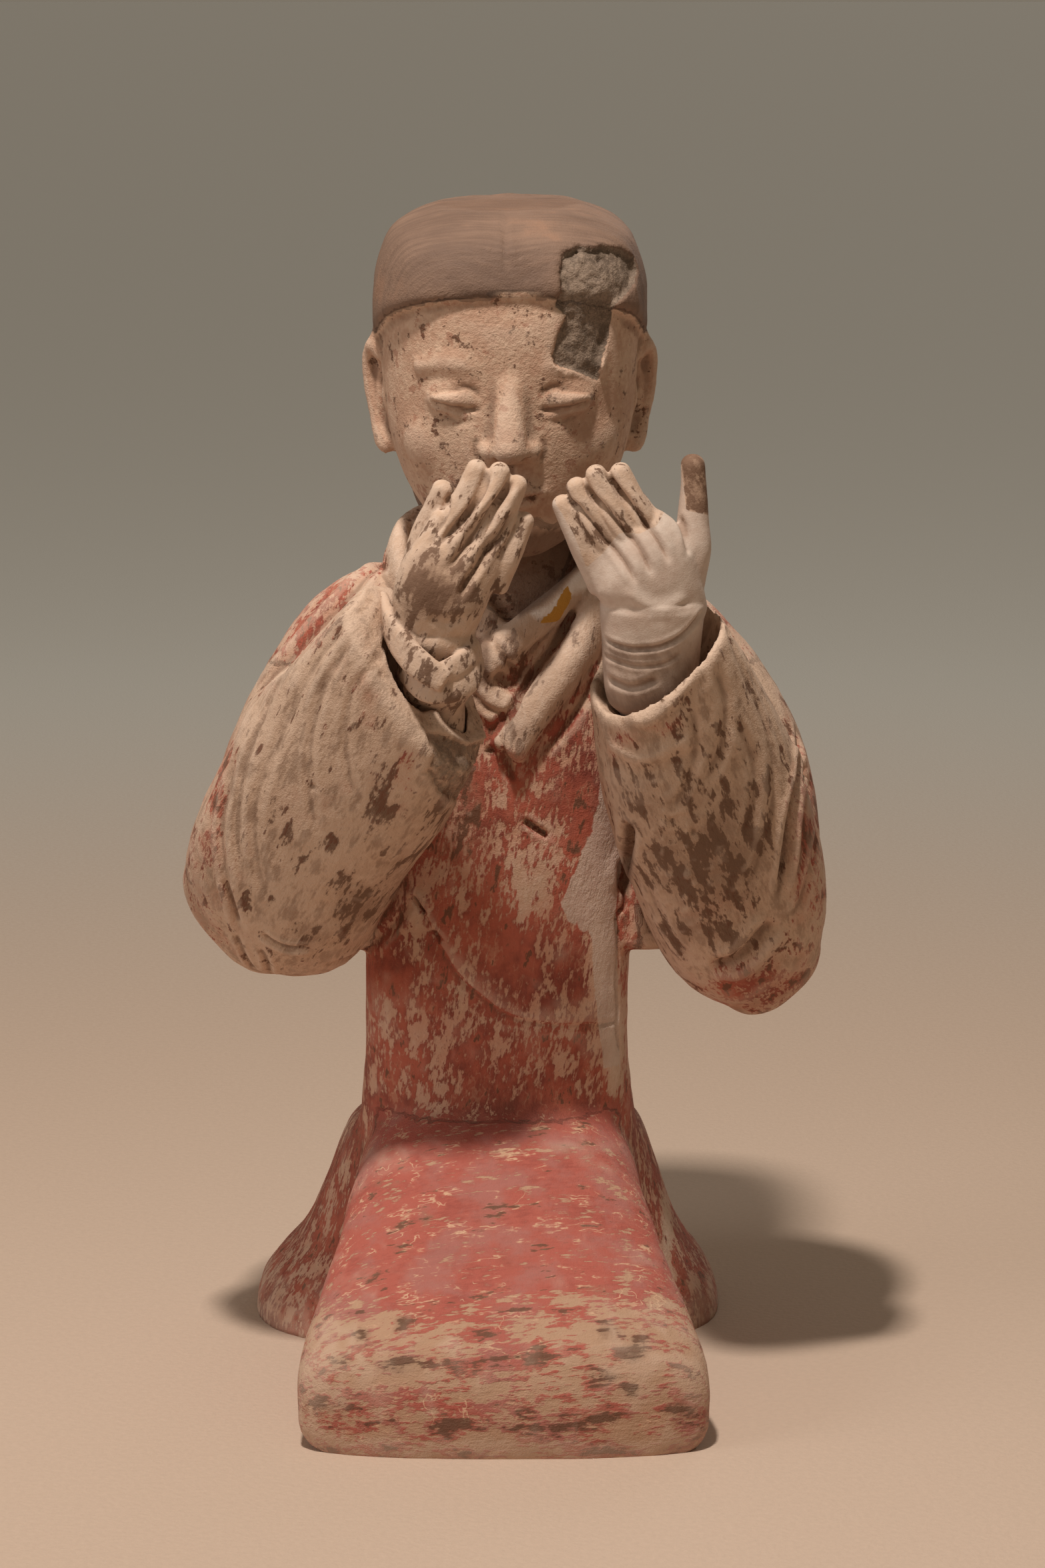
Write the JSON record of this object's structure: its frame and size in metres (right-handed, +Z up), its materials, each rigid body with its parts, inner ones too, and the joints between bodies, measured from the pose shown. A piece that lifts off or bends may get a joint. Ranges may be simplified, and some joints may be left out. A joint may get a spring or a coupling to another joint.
{
  "type": "pottery musician figurine",
  "caption": "Kneeling pottery musician in a wide-sleeved robe, with both hands raised before the mouth to hold a wind instrument, now lost.",
  "frame": {"origin": "on the ground under the middle of the figure, at the bottom centre of its bounding box", "axes": "+Z up, -Y the way the figure faces, +X to the viewer's right, which is the figure's left side"},
  "size_m": [0.1801, 0.1892, 0.33],
  "materials": {
    "painted_clay": "matt low-fired earthenware with cream slip and worn red pigment",
    "hand_clay": "matt earthenware with worn cream slip and brown soil stains",
    "repair_plaster": "smooth matt grey-pink plaster repair"
  },
  "bodies": {
    "root": {"figure": "painted_clay", "right_hand": "hand_clay", "left_hand": "repair_plaster"}
  },
  "joints": []
}
